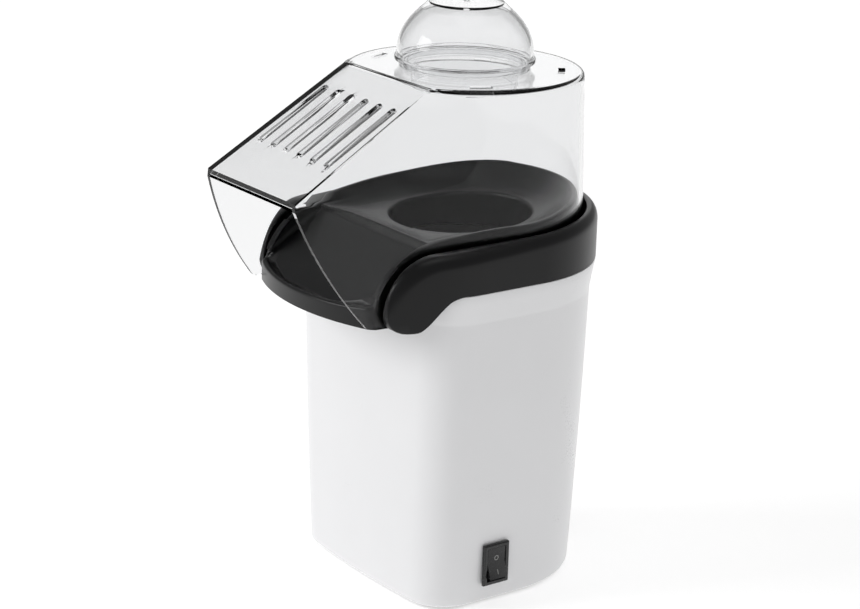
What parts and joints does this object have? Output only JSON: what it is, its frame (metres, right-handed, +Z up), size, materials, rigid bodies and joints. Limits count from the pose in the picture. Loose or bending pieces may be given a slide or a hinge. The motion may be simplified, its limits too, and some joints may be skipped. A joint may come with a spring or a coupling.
{
  "type": "popcorn maker",
  "caption": "Hot-air popcorn maker: white tapered tower, black bowl with a chute, clear vented hood that lifts off, clear measuring cup and a rocker switch.",
  "frame": {"origin": "middle of the whole object's footprint, on the table", "axes": "+Z up, -Y towards the chute's mouth, +X towards the side with the switch"},
  "size_m": [0.134, 0.1864, 0.2835],
  "materials": {
    "white_plastic": "satin gloss",
    "black_plastic": "satin",
    "clear_plastic": "clear polycarbonate",
    "chamber_aluminium": "drawn",
    "heatproof_plastic": "matte",
    "screw_steel": "zinc plated",
    "sheet_steel": "galvanised",
    "heater_wire": "oxidised",
    "mica_board": "pressed board",
    "magnet_ferrite": "sintered",
    "bearing_brass": "plain",
    "circuit_board": "lacquered",
    "foot_rubber": "matte",
    "switch_plastic": "gloss"
  },
  "bodies": {
    "base": {"base_housing": "white_plastic", "collar_ring": "black_plastic", "popping_chamber": "chamber_aluminium", "chamber_spacer": "heatproof_plastic", "chamber_screws": "screw_steel", "duct_sleeve": "sheet_steel", "duct_base_plate": "sheet_steel", "duct_screws": "screw_steel", "heater_coil": "heater_wire", "heater_frame": "mica_board", "thermostat": "heatproof_plastic", "thermal_fuse": "sheet_steel", "fan_housing": "heatproof_plastic", "motor_bracket": "sheet_steel", "motor_screws": "screw_steel", "motor_can": "sheet_steel", "motor_end_cap": "heatproof_plastic", "motor_magnets": "magnet_ferrite", "motor_bearings": "bearing_brass", "rectifier_board": "circuit_board", "rectifier_diodes": "switch_plastic", "bottom_cover": "black_plastic", "cover_screws": "screw_steel", "rubber_feet": "foot_rubber", "cord_inlet": "black_plastic", "switch_bezel": "switch_plastic", "switch_case": "switch_plastic", "switch_terminals": "bearing_brass", "rocker_pin": "screw_steel"},
    "cover": {"clear_hood": "clear_plastic", "chute_bowl": "black_plastic"},
    "cup": {"measuring_cup": "clear_plastic"},
    "rocker": {"switch_rocker": "switch_plastic"},
    "rotor": {"motor_shaft": "screw_steel", "fan_impeller": "heatproof_plastic", "motor_armature": "heater_wire"}
  },
  "joints": [
    {"name": "cover_lift", "type": "slide", "parent": "base", "child": "cover", "axis": [0, 0, 1], "range_m": [0, 0.06]},
    {"name": "cup_lift", "type": "slide", "parent": "cover", "child": "cup", "axis": [0, 0, 1], "range_m": [0, 0.04]},
    {"name": "rocker_pivot", "type": "hinge", "parent": "base", "child": "rocker", "pos_m": [0.05989, 0.00775, 0.0215], "axis": [0, 1, 0], "range_deg": [0, 20]},
    {"name": "fan_spin", "type": "hinge", "parent": "base", "child": "rotor", "pos_m": [0, 0.02625, 0.04], "axis": [0, 0, 1], "continuous": true}
  ]
}
